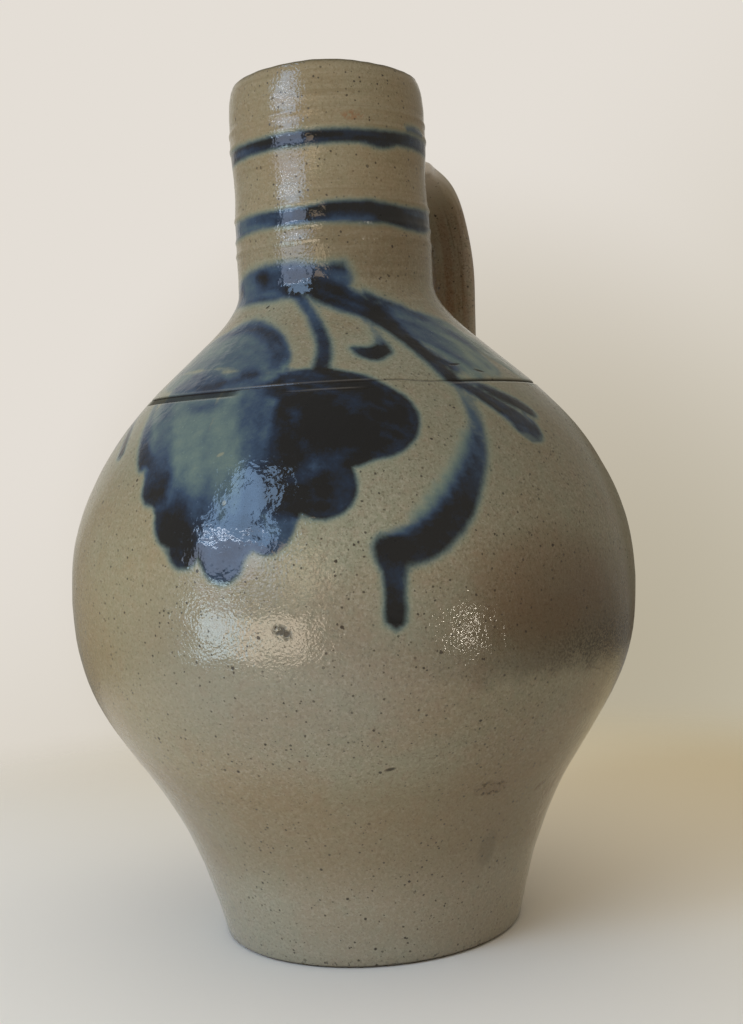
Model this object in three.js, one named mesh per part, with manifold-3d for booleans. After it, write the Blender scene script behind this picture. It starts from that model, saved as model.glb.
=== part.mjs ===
// A hand-thrown stoneware jug with a pulled strap handle, in millimetres.
// +Z is up, the origin is the centre of the foot's underside, and the handle is on +Y.
import * as THREE from "three";
import { ParametricGeometry } from "three/addons/geometries/ParametricGeometry.js";
import { mergeVertices } from "three/addons/utils/BufferGeometryUtils.js";
import Module from "manifold-3d";

// Outline of the thrown pot
const footRadius = 53;
const footBevel = 1.2;
const footFlare = 0.22; // how far the wall leans out at the foot, per millimetre of rise
const footSweep = 74; // reach of the foot's lean up the wall
const bellyRadius = 100;
const bellyHeight = 122;
const bellyFullnessBelow = 54;
const bellyFullnessAbove = 62;
const neckRootHeight = 227;
const neckSweep = 20.5;
const neckRadius = 34.8;
const neckLength = 73;

// Lip
const lipInset = 0.9;
const lipTaperLength = 14;
const lipOuterRound = 2.4;
const lipInnerRound = 1.4;

// Walls
const bodyWall = 6.5;
const neckWall = 5.3;
const floorThickness = 9;
const floorFillet = 7;

// Turned ridges on the neck, each given by its drop below the rim
const ridgeDrops = [17.5, 23, 47.5, 55, 60];
const ridgeWidth = 3.2;
const ridgeHeight = 0.45;

// Line incised round the shoulder
const grooveDrop = 37.5; // below the root of the neck
const grooveWidth = 2.2;
const grooveDepth = 0.8;

// Strap handle
const strapWidth = 36;
const strapThickness = 9;
const strapRootFlare = 4; // extra width on each side where the strap meets the neck
const strapRootReach = 11;
const strapTailWidth = 29;
const strapTailThickness = 5.5;
const strapTailRound = 11; // how far back from the tip the tail's round end starts
const ribCount = 3;
const ribHeight = 0.7;
const fingerGap = 41;
const handleDrop = 26; // from the rim to the middle of the strap's root
const handleRise = 2; // how far the strap lifts before it turns down
const bendBelowRoot = 37; // from the strap's root down to its furthest point
const upperBendReach = 26; // how far the strap runs out level before it turns down
const upperBendRound = 27;
const lowerBendRound = 23;
const tailDrop = 61; // from the root of the neck down to the tip of the pressed tail
const tailRun = 22; // how long the tail follows the shoulder

// Clay worked in round the two ends of the strap
const upperFilletReach = 7;
const upperFilletSpread = 3.5;
const lowerFilletReach = 7;
const lowerFilletSpread = 8;
const lowerFilletRun = 31; // how far up the strap the lower clay is worked
const lowerFilletBeyond = 5; // how far it runs on past the tip of the strap
const filletSkin = 0.9; // least thickness of the clay round the strap

// Joints and fineness
const seatGap = 0.3;
const turnSteps = 48;
const outsideSteps = { lower: 8, upper: 13 };
const insideSteps = { lower: 5, upper: 8 };
const roundSteps = 3;
const strapRoundSteps = 24;
const strapLengthSteps = 26;
const filletLengthSteps = 12;

const rimHeight = neckRootHeight + neckLength;
const ridgeTopLimit = rimHeight - lipOuterRound - ridgeWidth;

const wasm = await Module();
wasm.setup();

// Smooth outline of the pot, from the foot to the root of the neck

const lowerWall = new THREE.CubicBezierCurve(
  new THREE.Vector2(footRadius, 0),
  new THREE.Vector2(footRadius + footFlare * footSweep, footSweep),
  new THREE.Vector2(bellyRadius, bellyHeight - bellyFullnessBelow),
  new THREE.Vector2(bellyRadius, bellyHeight),
);
const upperWall = new THREE.CubicBezierCurve(
  new THREE.Vector2(bellyRadius, bellyHeight),
  new THREE.Vector2(bellyRadius, bellyHeight + bellyFullnessAbove),
  new THREE.Vector2(neckRadius, neckRootHeight - neckSweep),
  new THREE.Vector2(neckRadius, neckRootHeight),
);

function samples(curve, steps, offsetAt) {
  const points = [];
  for (let i = 0; i <= steps; i++) {
    const t = i / steps;
    const tangent = curve.getTangent(t);
    const outward = new THREE.Vector2(tangent.y, -tangent.x);
    points.push(curve.getPoint(t).addScaledVector(outward, offsetAt(t)));
  }
  return points;
}

// The wall's outline moved out by two offsets, at the belly and at the neck's root
function wallOutline(steps, bellyOffset, neckOffset) {
  const lower = samples(lowerWall, steps.lower, () => bellyOffset);
  const upper = samples(upperWall, steps.upper, (t) =>
    THREE.MathUtils.lerp(bellyOffset, neckOffset, t),
  );
  return [...lower, ...upper.slice(1)];
}

// Radius of an outline, or its height, where the other is given
function radiusAt(outline, height) {
  for (let i = 1; i < outline.length; i++) {
    const [a, b] = [outline[i - 1], outline[i]];
    if (height <= b.y) return a.x + ((b.x - a.x) * (height - a.y)) / (b.y - a.y);
  }
  return outline[outline.length - 1].x;
}

// A quarter round from one point to another, bulging towards the corner
function quarterRound(from, corner, to) {
  const points = [];
  for (let i = 0; i <= roundSteps; i++) {
    const angle = (i / roundSteps) * (Math.PI / 2);
    const [near, far] = [1 - Math.sin(angle), 1 - Math.cos(angle)];
    const start = from.clone().sub(corner).multiplyScalar(near);
    const end = to.clone().sub(corner).multiplyScalar(far);
    points.push(corner.clone().add(start).add(end));
  }
  return points;
}

// The line incised round the shoulder takes the place of the outline's own points there
function withGroove(outline) {
  const middle = neckRootHeight - grooveDrop;
  const half = grooveWidth / 2;
  const at = (height) => new THREE.Vector2(radiusAt(outline, height), height);
  const slope = at(middle + half).sub(at(middle - half)).normalize();
  const inward = new THREE.Vector2(-slope.y, slope.x);
  const edges = [-half, 0, half].map((step) => at(middle + step * slope.y));
  edges[1].addScaledVector(inward, grooveDepth);
  const below = outline.filter((p) => p.y < edges[0].y - half);
  const above = outline.filter((p) => p.y > edges[2].y + half);
  return [...below, ...edges, ...above];
}

function neckOutline() {
  const ridges = ridgeDrops
    .map((drop) => rimHeight - drop)
    .filter((height) => height > neckRootHeight + ridgeWidth && height < ridgeTopLimit)
    .sort((a, b) => a - b);
  return ridges.flatMap((height) => [
    new THREE.Vector2(neckRadius, height - ridgeWidth / 2),
    new THREE.Vector2(neckRadius + ridgeHeight, height),
    new THREE.Vector2(neckRadius, height + ridgeWidth / 2),
  ]);
}

function lipOutline() {
  const outer = neckRadius - lipInset;
  const inner = neckRadius - neckWall;
  const point = (radius, height) => new THREE.Vector2(radius, height);
  return [
    point(neckRadius, rimHeight - lipTaperLength),
    ...quarterRound(
      point(outer, rimHeight - lipOuterRound),
      point(outer, rimHeight),
      point(outer - lipOuterRound, rimHeight),
    ),
    ...quarterRound(
      point(inner + lipInnerRound, rimHeight),
      point(inner, rimHeight),
      point(inner, rimHeight - lipInnerRound),
    ),
  ];
}

function insideOutline() {
  const wall = wallOutline(insideSteps, -bodyWall, -neckWall);
  const floorEdge = radiusAt(wall, floorThickness + floorFillet);
  const fillet = quarterRound(
    new THREE.Vector2(floorEdge, floorThickness + floorFillet),
    new THREE.Vector2(radiusAt(wall, floorThickness), floorThickness),
    new THREE.Vector2(floorEdge - floorFillet, floorThickness),
  );
  const above = wall.filter((p) => p.y > floorThickness + floorFillet + 1);
  return [...above.reverse(), ...fillet, new THREE.Vector2(0, floorThickness)];
}

const smoothOutline = wallOutline(outsideSteps, 0, 0);

function lathe(outline) {
  return new THREE.LatheGeometry(outline, turnSteps).rotateX(Math.PI / 2);
}

function vesselGeometry() {
  return lathe([
    new THREE.Vector2(0, 0),
    new THREE.Vector2(footRadius - footBevel, 0),
    new THREE.Vector2(footRadius + footFlare * footBevel, footBevel),
    ...withGroove(smoothOutline.slice(1)),
    ...neckOutline(),
    ...lipOutline(),
    ...insideOutline(),
  ]);
}

// What the clay of the handle is pressed against: the pot's outside, a seat's gap proud
function seatGeometry() {
  const proud = wallOutline(outsideSteps, seatGap, seatGap);
  const neck = neckOutline().map((p) => new THREE.Vector2(p.x + seatGap, p.y));
  return lathe([
    new THREE.Vector2(0, -seatGap),
    new THREE.Vector2(footRadius, -seatGap),
    ...proud.slice(1),
    ...neck,
    new THREE.Vector2(neckRadius + seatGap, rimHeight),
    new THREE.Vector2(0, rimHeight),
  ]);
}

// Strap handle, swept down a path in the plane x = 0

const strapReach = neckRadius + fingerGap + strapThickness / 2;
const strapTop = rimHeight - handleDrop;

function strapPath() {
  const tipHeight = neckRootHeight - tailDrop;
  const tip = new THREE.Vector3(0, radiusAt(smoothOutline, tipHeight), tipHeight);
  const aboveHeight = tipHeight + tailRun / 2;
  const above = new THREE.Vector3(0, radiusAt(smoothOutline, aboveHeight), aboveHeight);
  const alongShoulder = above.sub(tip).normalize();
  const bend = new THREE.Vector3(0, strapReach, strapTop - bendBelowRoot);
  const path = new THREE.CurvePath();
  path.add(
    new THREE.CubicBezierCurve3(
      new THREE.Vector3(0, neckRadius - neckWall, strapTop - handleRise),
      new THREE.Vector3(0, neckRadius + upperBendReach, strapTop + handleRise),
      bend.clone().add(new THREE.Vector3(0, 0, upperBendRound)),
      bend,
    ),
  );
  path.add(
    new THREE.CubicBezierCurve3(
      bend,
      bend.clone().sub(new THREE.Vector3(0, 0, lowerBendRound)),
      tip.clone().addScaledVector(alongShoulder, tailRun),
      tip,
    ),
  );
  return path;
}

const path = strapPath();
const pathLength = path.getLength();
const neckSurfaceAt = neckWall; // the path starts on the inside of the neck's wall

const clampShare = (x) => Math.min(1, Math.max(0, x));
const ease = (x) => clampShare(x) ** 2 * (3 - 2 * clampShare(x));

// How much of its width a section keeps as it nears a round end
const roundEnd = (distance, end, run) =>
  Math.sqrt(Math.max(0.02, 1 - clampShare(1 - (end - distance) / run) ** 2));

// Size of the strap at a distance along its path
function strapSize(distance) {
  const fromNeck = Math.max(0, distance - neckSurfaceAt);
  const flare = strapRootFlare * Math.exp(-((fromNeck / strapRootReach) ** 2));
  const narrowing = ease((distance / pathLength - 0.5) / 0.5);
  const pressed = ease(1 - (pathLength - distance) / tailRun);
  return {
    width: THREE.MathUtils.lerp(strapWidth, strapTailWidth, narrowing) + 2 * flare,
    thickness: THREE.MathUtils.lerp(strapThickness, strapTailThickness, pressed),
    rib: ribHeight * (1 - pressed),
  };
}

// A point of the path, which runs on straight past its tip
function pathFrame(distance) {
  const share = clampShare(distance / pathLength);
  const along = path.getTangentAt(share);
  const centre = path.getPointAt(share);
  centre.addScaledVector(along, Math.max(0, distance - pathLength));
  return { centre, outward: new THREE.Vector3(0, -along.z, along.y) };
}

// A point of the strap's skin, where turn goes once round the section
function strapPoint(distance, turn, grow, endShare) {
  const { centre, outward } = pathFrame(distance);
  const { width, thickness, rib } = strapSize(distance);
  const angle = -turn * 2 * Math.PI;
  const across = Math.cos(angle);
  const depth = Math.sign(Math.sin(angle)) * Math.abs(Math.sin(angle)) ** 0.55;
  const ribs = depth > 0 ? rib * depth * Math.cos(ribCount * Math.PI * across) : 0;
  return centre
    .addScaledVector(outward, depth * (thickness / 2 + grow.deep) + ribs)
    .add(new THREE.Vector3(across * (width / 2 + grow.wide) * endShare, 0, 0));
}

// How far a point stands off the pot's outside
function standOff(point) {
  const slope = (height) =>
    height > neckRootHeight ? neckRadius : radiusAt(smoothOutline, height);
  const rise = slope(point.z - 1) - slope(point.z + 1);
  const level = Math.hypot(point.x, point.y) - slope(point.z);
  return level * Math.cos(Math.atan2(rise, 2));
}

// A closed sleeve along the path between two distances, its ends drawn together to a point.
// skinAt gives its point at a distance and a turn.
function sleeve(from, to, steps, skinAt) {
  const last = steps + 2;
  const draw = (u, v, target) => {
    const row = Math.round(v * last);
    const step = Math.min(steps, Math.max(0, row - 1));
    const distance = from + ((to - from) * step) / steps;
    const turn = Math.round(u * strapRoundSteps) / strapRoundSteps;
    const isEnd = row === 0 || row === last;
    target.copy(isEnd ? pathFrame(distance).centre : skinAt(distance, turn));
  };
  return new ParametricGeometry(draw, strapRoundSteps, last);
}

function strapGeometry(grow) {
  const even = { deep: grow, wide: grow };
  return sleeve(0, pathLength + grow, strapLengthSteps, (distance, turn) =>
    strapPoint(distance, turn, even, roundEnd(distance, pathLength + grow, strapTailRound)),
  );
}

// Manifold solids, which only join and cut

function solidOf(geometry) {
  const bare = geometry.clone();
  bare.deleteAttribute("normal");
  bare.deleteAttribute("uv");
  const merged = mergeVertices(bare, 1e-4);
  return new wasm.Manifold(
    new wasm.Mesh({
      numProp: 3,
      vertProperties: merged.attributes.position.array,
      triVerts: new Uint32Array(merged.index.array),
    }),
  );
}

function largest(solid) {
  const pieces = solid.decompose();
  return pieces.reduce((a, b) => (a.volume() > b.volume() ? a : b));
}

function geometryOf(solid) {
  const mesh = solid.getMesh();
  const geometry = new THREE.BufferGeometry();
  geometry.setAttribute("position", new THREE.BufferAttribute(mesh.vertProperties, 3));
  geometry.setIndex(new THREE.BufferAttribute(mesh.triVerts, 1));
  return geometry;
}

const seat = solidOf(seatGeometry());
const strapBlank = solidOf(strapGeometry(0));
const strapRoom = solidOf(strapGeometry(seatGap));

function handleGeometry() {
  return geometryOf(largest(strapBlank.subtract(seat)));
}

// Clay that thickens towards the pot. coversFace says whether it goes over the strap's
// outer face too, or stops beside it.
function filletGeometry(from, to, reach, spread, endRun, coversFace) {
  const skinAt = (distance, turn) => {
    const endShare = roundEnd(distance, to, endRun);
    const bare = strapPoint(distance, turn, { deep: 0, wide: 0 }, endShare);
    const near = clampShare(1 - Math.max(0, standOff(bare)) / reach);
    const wide = filletSkin + spread * near * near;
    const isFace = turn > 0.5 && turn < 1;
    const deep = isFace && !coversFace ? -filletSkin : wide;
    return strapPoint(distance, turn, { deep, wide }, endShare);
  };
  const blank = solidOf(sleeve(from, to, filletLengthSteps, skinAt));
  return geometryOf(largest(blank.subtract(strapRoom).subtract(seat)));
}

function upperFilletGeometry() {
  const to = neckSurfaceAt + upperFilletReach;
  return filletGeometry(0, to, upperFilletReach, upperFilletSpread, 0.01, true);
}

function lowerFilletGeometry() {
  const from = pathLength - lowerFilletRun;
  const to = pathLength + lowerFilletBeyond;
  const run = strapTailRound + lowerFilletBeyond;
  return filletGeometry(from, to, lowerFilletReach, lowerFilletSpread, run, false);
}

// Salt-glazed grey stoneware. The clay worked in at the joints is a shade browner.

const stoneware = new THREE.MeshStandardMaterial({
  color: 0x8d8472,
  roughness: 0.32,
  metalness: 0,
});
const jointClay = new THREE.MeshStandardMaterial({
  color: 0x857964,
  roughness: 0.38,
  metalness: 0,
});

function piece(name, geometry, material) {
  const mesh = new THREE.Mesh(geometry, material);
  mesh.name = name;
  return mesh;
}

const jug = new THREE.Group();
jug.add(
  piece("thrown_vessel", vesselGeometry(), stoneware),
  piece("strap_handle", handleGeometry(), stoneware),
  piece("upper_luting_clay", upperFilletGeometry(), jointClay),
  piece("lower_luting_clay", lowerFilletGeometry(), jointClay),
);

export default jug;
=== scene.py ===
import math
from functools import reduce

import bpy
import numpy as np
from mathutils import Matrix, Vector, noise


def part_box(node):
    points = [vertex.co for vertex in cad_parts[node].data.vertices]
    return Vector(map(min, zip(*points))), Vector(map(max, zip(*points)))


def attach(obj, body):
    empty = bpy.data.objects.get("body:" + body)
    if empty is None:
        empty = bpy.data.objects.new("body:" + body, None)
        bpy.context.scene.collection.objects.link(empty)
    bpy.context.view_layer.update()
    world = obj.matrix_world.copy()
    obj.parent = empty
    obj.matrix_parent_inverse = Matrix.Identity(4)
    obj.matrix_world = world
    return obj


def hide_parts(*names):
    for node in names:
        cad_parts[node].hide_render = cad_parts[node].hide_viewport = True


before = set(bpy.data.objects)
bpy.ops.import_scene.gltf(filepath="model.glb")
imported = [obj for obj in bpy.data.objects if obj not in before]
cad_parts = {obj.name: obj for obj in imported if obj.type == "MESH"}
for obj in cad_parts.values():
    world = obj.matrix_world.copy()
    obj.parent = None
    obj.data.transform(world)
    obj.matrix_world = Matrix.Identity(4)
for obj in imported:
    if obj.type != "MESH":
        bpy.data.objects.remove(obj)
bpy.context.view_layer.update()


# Viewpoint
# The jug is seen from close by, a little above its middle, 30 degrees round from the side
# that faces away from the handle. Angles round the jug run from -Y towards +X.
mm = 0.001
view_angle = 30
camera_reach = 482.1 * mm
camera_height = 163.1 * mm
camera_turn = -0.92
camera_nod = -1.965
camera_roll = -3.445
lens_length = 46.95
picture_side = 36


def toward(angle, elevation=0):
    """The direction at an angle round the jug and an elevation, both in degrees."""
    a, e = math.radians(angle), math.radians(elevation)
    return Vector((math.sin(a) * math.cos(e), -math.cos(a) * math.cos(e), math.sin(e)))


camera_data = bpy.data.cameras.new("viewpoint")
camera_data.lens = lens_length
camera_data.sensor_width = picture_side
camera = bpy.data.objects.new("viewpoint", camera_data)
bpy.context.scene.collection.objects.link(camera)
camera_place = Matrix.Translation(toward(view_angle) * camera_reach + Vector((0, 0, camera_height)))
camera_turns = (
    Matrix.Rotation(math.radians(view_angle + camera_turn), 4, "Z")
    @ Matrix.Rotation(math.radians(90 + camera_nod), 4, "X")
    @ Matrix.Rotation(math.radians(camera_roll), 4, "Z")
)
camera.matrix_world = camera_place @ camera_turns
bpy.context.scene.camera = camera
bpy.context.scene.view_settings.view_transform = "Standard"


# Floor
# A plain pale tabletop, matt, that keeps the jug's soft shadow and fades into the backdrop
# before its edge. Towards the back right it is painted warmer and darker, as painted shade.
floor_colour = "F3ECE0"
floor_shade_colour = "E6D6B4"
floor_radius = 620 * mm
floor_fade_start = 240 * mm
floor_fade_end = 450 * mm


def srgb(code):
    """A colour written as sRGB hex, as the linear values that a socket takes."""
    parts = [int(code[i : i + 2], 16) / 255 for i in (0, 2, 4)]
    linear = [p / 12.92 if p <= 0.04045 else ((p + 0.055) / 1.055) ** 2.4 for p in parts]
    return (*linear, 1.0)


def start_nodes(owner):
    """Empties the node tree of a material or of the world, which the next nodes are added to."""
    global tree
    owner.use_nodes = True
    tree = owner.node_tree
    tree.nodes.clear()


def add_node(kind, *inputs, output=0, named=None, **settings):
    """A node with its settings. Its inputs are values or other nodes' outputs, in order or by
    name, and one of its own outputs comes back."""
    node = tree.nodes.new("ShaderNode" + kind)
    for name, value in settings.items():
        setattr(node, name, value)
    for key, value in [*enumerate(inputs), *(named or {}).items()]:
        if isinstance(value, bpy.types.NodeSocket):
            tree.links.new(value, node.inputs[key])
        else:
            node.inputs[key].default_value = value
    return node.outputs[output] if node.outputs else None


def ramp(value, start, end):
    """Rises smoothly from 0 to 1 as a value goes from start to end."""
    return add_node("MapRange", value, start, end, interpolation_type="SMOOTHSTEP")


def mix_colour(share, under, over, blend="MIX"):
    """Two colours mixed by a share, which is a value or a socket."""
    inputs = {0: share, 6: under, 7: over}
    return add_node("Mix", output=2, named=inputs, data_type="RGBA", blend_type=blend, clamp_factor=True)


bpy.ops.object.select_all(action="DESELECT")
bpy.ops.mesh.primitive_circle_add(vertices=96, radius=floor_radius, fill_type="NGON")
floor = bpy.context.active_object
floor.name = "floor"

# Painted board: matt, with no gloss of its own
matt_board = bpy.data.materials.new("matt_painted_board")
start_nodes(matt_board)
place = add_node("TexCoord", output="Object")
reach = add_node("VectorMath", place, output="Value", operation="LENGTH")
fade = ramp(reach, floor_fade_start, floor_fade_end)
# Painted shade: the board turns warmer and darker towards the back right
behind = add_node("VectorMath", place, toward(165), output="Value", operation="DOT_PRODUCT")
floor_shade_share = ramp(behind, -80 * mm, 340 * mm)
board_colour = mix_colour(floor_shade_share, srgb(floor_colour), srgb(floor_shade_colour))
faded = add_node("MixShader", fade, add_node("BsdfDiffuse", board_colour), add_node("BsdfTransparent"))
add_node("OutputMaterial", faded)
floor.data.materials.append(matt_board)


# Light
# A pale room in daylight: a bright wall behind the jug, which carries its soft shadow, and a
# broad light overhead. At the front left stands a tall window of several panes with a bright
# sash, over a low window and a sunlit sill. One small lamp is at the right.
wall_colour = "E4DED6"
wall_shade_colour = "BDB59F"
jug_shadow_colour = "E3E0D7"
room_colour = "E8E2D6"
room_light = 0.38
overhead_light = 0.3
under_light = 0.2
behind_light = 0.74
left_light = 0.4
right_light = 0.48
lamp_reach = 1.25
jug_middle = Vector((0, 0, 120 * mm))


def raised(value, share, amount):
    """A value raised by an amount, as far as a share holds."""
    return add_node("Math", share, amount, value, operation="MULTIPLY_ADD")


world = bpy.data.worlds.new("pale_room")
bpy.context.scene.world = world
start_nodes(world)
direction = add_node("TexCoord", output="Generated")


def facing(angle, elevation):
    """How nearly the sky's direction is that of an angle and an elevation."""
    aim = toward(angle, elevation)
    return add_node("VectorMath", direction, aim, output="Value", operation="DOT_PRODUCT")


rise = add_node("SeparateXYZ", direction, output="Z")
level = room_light
for share, light in (
    (ramp(rise, 0.7, 0.97), overhead_light),
    (ramp(rise, -0.03, -0.32), under_light),
    (ramp(facing(220, 22), 0.85, 0.93), behind_light),
    (ramp(facing(-75, 20), 0.35, 0.9), left_light),
    (ramp(facing(95, 5), 0.3, 0.85), right_light),
):
    level = raised(level, share, light - room_light)
room = add_node("Background", srgb(room_colour), level)
shade = ramp(facing(89, -54), -0.45, 0.12)
wall_paint = mix_colour(shade, srgb(wall_colour), srgb(wall_shade_colour))
shadow = ramp(facing(206, -4), 0.955, 1.0)
wall_paint = mix_colour(shadow, wall_paint, srgb(jug_shadow_colour), "MULTIPLY")
wall = add_node("Background", wall_paint, 1.0)
seen = add_node("LightPath", output="Is Camera Ray")
add_node("OutputWorld", add_node("MixShader", seen, room, wall))


def add_lamp(name, angle, elevation, wide, tall, brightness, colour, reflected=True):
    """An area lamp that faces the jug. It spans so many degrees across and up, and shows in
    reflections at a brightness where 1 is white."""
    width = 2 * lamp_reach * math.tan(math.radians(wide / 2))
    height = 2 * lamp_reach * math.tan(math.radians(tall / 2))
    data = bpy.data.lights.new(name, "AREA")
    data.shape = "RECTANGLE"
    data.size = width
    data.size_y = height
    data.color = srgb(colour)[:3]
    data.energy = brightness * math.pi * width * height
    lamp = bpy.data.objects.new(name, data)
    bpy.context.scene.collection.objects.link(lamp)
    aim = toward(angle, elevation)
    turn = aim.to_track_quat("Z", "Y").to_matrix().to_4x4()
    lamp.matrix_world = Matrix.Translation(jug_middle + aim * lamp_reach) @ turn
    lamp.visible_camera = False
    lamp.visible_glossy = reflected


add_lamp("tall_window", -16, 15, 33, 16, 4.1, "CCDCFA")
add_lamp("middle_pane", -17, 27, 31, 7.5, 6, "AED4FF")
add_lamp("upper_pane", -18, 41, 17, 20, 5.8, "AED4FF")
add_lamp("bright_sash", -21, 25, 20, 0.5, 40, "EEF3FF")
add_lamp("low_window", -23.5, -8, 18, 17, 8, "D3F0FF")
add_lamp("sunlit_sill", 0, -13, 27, 15, 6.4, "FFEBD2")
add_lamp("warm_strip", 12, 11, 12, 14, 3.0, "FFE0B8")
add_lamp("small_lamp", 71, -14, 3, 4, 44, "FFF4E2")
add_lamp("overhead", 0, 88, 76, 76, 0.8, "F4F1EA", reflected=False)


# Thrown pot
# Foot, belly, shoulder, neck and rim are one wall of grey stoneware, thrown on the wheel. The
# fingers leave faint rings all the way up, the neck keeps five turned ridges, and a pointed tool
# has cut a line round the shoulder, which goes round twice and doesn't quite meet itself.
pot_low, pot_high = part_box("thrown_vessel")
foot_radius = 53
foot_bevel = 1.2
foot_lean = 0.22
foot_sweep = 74
belly_radius = pot_high.x / mm
belly_height = 122
fullness_below = 54
fullness_above = 62
rim_height = pot_high.z / mm
neck_length = 73
neck_root = rim_height - neck_length
neck_sweep = 20.5
neck_radius = 34.8
lip_inset = 1.9
lip_taper = 12
lip_outer_round = 1.3
lip_inner_round = 1.4
body_wall = 6.5
neck_wall = 5.3
floor_thickness = 9
floor_fillet = 7
front_start, front_end = -75, 135
front_steps = 280
back_steps = 70


def bezier(*points, steps=300):
    """A cubic curve through its first and last point, as an array of points."""
    t = np.linspace(0, 1, steps)[:, None]
    a, b, c, d = (np.array(p, float) for p in points)
    return (1 - t) ** 3 * a + 3 * (1 - t) ** 2 * t * b + 3 * (1 - t) * t * t * c + t**3 * d


lower_wall = bezier(
    (foot_radius, 0),
    (foot_radius + foot_lean * foot_sweep, foot_sweep),
    (belly_radius, belly_height - fullness_below),
    (belly_radius, belly_height),
)
upper_wall = bezier(
    (belly_radius, belly_height),
    (belly_radius, belly_height + fullness_above),
    (neck_radius, neck_root - neck_sweep),
    (neck_radius, neck_root),
)
lip_points = [
    (neck_radius, rim_height - lip_taper),
    (neck_radius - 0.25 * lip_inset, rim_height - 0.5 * lip_taper),
    (neck_radius - lip_inset, rim_height),
]
outline = np.vstack([lower_wall, upper_wall[1:], lip_points])


def pot_radius(height):
    """Radius of the pot's outside at a height, both in millimetres."""
    return np.interp(height, outline[:, 1], outline[:, 0])


def pot_lean(height):
    """How far the pot's outside leans out in a millimetre of height."""
    return pot_radius(height + 0.5) - pot_radius(height - 0.5)


def round_corner(start, corner, end, steps):
    """A quarter round from one point to another, bulging towards a corner."""
    start, corner, end = np.array(start), np.array(corner), np.array(end)
    turns = np.linspace(0, math.pi / 2, steps)
    return [
        corner + (start - corner) * (1 - math.sin(t)) + (end - corner) * (1 - math.cos(t))
        for t in turns
    ]


def outside_rows():
    """The heights of the rows up the outside, closest together where the detail is."""
    stretches = [
        (foot_bevel, 110, 3.6), (110, 184, 2.0), (184, 186.6, 0.65), (186.6, 191.6, 0.16),
        (191.6, 193, 0.5), (193, 238, 1.6), (238, 255, 0.6), (255, 273, 1.6), (273, 285, 0.6),
        (285, rim_height - lip_outer_round - 0.3, 1.6),
    ]
    return np.concatenate([np.arange(low, high, step) for low, high, step in stretches])


def inside_rows():
    """Radius and height of each row down the inside, from below the lip to the floor's middle."""
    neck = [(neck_radius - neck_wall, h) for h in np.linspace(rim_height - 4, neck_root + 1, 9)]
    heights = np.linspace(neck_root, floor_thickness + floor_fillet, 22)
    wall_share = np.clip((heights - belly_height) / (neck_root - belly_height), 0, 1)
    walls = body_wall + (neck_wall - body_wall) * wall_share
    lean = np.gradient(pot_radius(heights), heights)
    body = list(zip(pot_radius(heights) - walls * np.sqrt(1 + lean**2), heights))
    edge = body[-1][0]
    corner = round_corner(
        (edge, floor_thickness + floor_fillet),
        (edge - 1, floor_thickness),
        (edge - floor_fillet, floor_thickness),
        5,
    )
    flat = [(edge * share, floor_thickness) for share in (0.75, 0.5, 0.25, 0)]
    return neck + body + corner[1:] + flat


lip_outer = neck_radius - lip_inset
lip_inner = neck_radius - neck_wall
rows = [(0, 0), (16, 0), (30, 0), (42, 0), (foot_radius - foot_bevel, 0)]
rows += [(pot_radius(h), h) for h in outside_rows()]
rows += round_corner(
    (lip_outer, rim_height - lip_outer_round),
    (lip_outer, rim_height),
    (lip_outer - lip_outer_round, rim_height),
    7,
)
rows += round_corner(
    (lip_inner + lip_inner_round, rim_height),
    (lip_inner, rim_height),
    (lip_inner, rim_height - lip_inner_round),
    5,
)
rows += inside_rows()

# The outline is drawn up and over the rim from one vertex on the wheel's axis, then spun
bpy.ops.object.select_all(action="DESELECT")
bpy.ops.mesh.primitive_plane_add(size=foot_radius * mm)
pot = bpy.context.active_object
pot.name = "thrown_pot"
bpy.ops.object.mode_set(mode="EDIT")
bpy.ops.mesh.merge(type="CENTER")
outward = toward(front_start)
for (radius, height), (next_radius, next_height) in zip(rows, rows[1:]):
    step = outward * (next_radius - radius) * mm + Vector((0, 0, (next_height - height) * mm))
    bpy.ops.mesh.extrude_vertices_move(TRANSFORM_OT_translate={"value": step})
bpy.ops.mesh.select_all(action="SELECT")
front_arc = math.radians(front_end - front_start)
for steps, arc in ((front_steps, front_arc), (back_steps, 2 * math.pi - front_arc)):
    bpy.ops.mesh.spin(steps=steps, angle=arc, center=(0, 0, 0), axis=(0, 0, 1))
bpy.ops.mesh.select_all(action="SELECT")
bpy.ops.mesh.remove_doubles(threshold=0.01 * mm)
bpy.ops.object.mode_set(mode="OBJECT")


def face_outwards(piece):
    """Turns a closed piece's faces outwards and shades it smooth. Faces that still point in make
    its volume negative, and are flipped."""
    bpy.ops.object.mode_set(mode="EDIT")
    bpy.ops.mesh.select_all(action="SELECT")
    bpy.ops.mesh.normals_make_consistent(inside=False)
    bpy.ops.object.mode_set(mode="OBJECT")
    if sum(face.normal.dot(face.center) * face.area for face in piece.data.polygons) < 0:
        bpy.ops.object.mode_set(mode="EDIT")
        bpy.ops.mesh.flip_normals()
        bpy.ops.object.mode_set(mode="OBJECT")
    bpy.ops.object.shade_smooth()


face_outwards(pot)


def vertex_places(piece):
    """The places of a piece's vertices in millimetres."""
    flat = np.zeros(len(piece.data.vertices) * 3)
    piece.data.vertices.foreach_get("co", flat)
    return flat.reshape(-1, 3) / mm


def move_vertices(piece, places):
    """Moves a piece's vertices to places in millimetres."""
    piece.data.vertices.foreach_set("co", (places * mm).ravel())
    piece.data.update()


def grain(points, size, seed=0):
    """Smooth noise from -1 to 1 at each point, with lumps of about a size."""
    shift = Vector((seed * 17.3, seed * 5.1, seed * 29.7))
    return np.array([noise.noise(Vector(p) / size + shift) for p in points])


def hump(value, middle, reach):
    """1 at the middle, falling to nothing about two reaches away."""
    return np.exp(-(((value - middle) / reach) ** 2))


def ease(value):
    """A value kept between 0 and 1, with a soft start and end."""
    value = np.clip(value, 0, 1)
    return value**2 * (3 - 2 * value)


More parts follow.
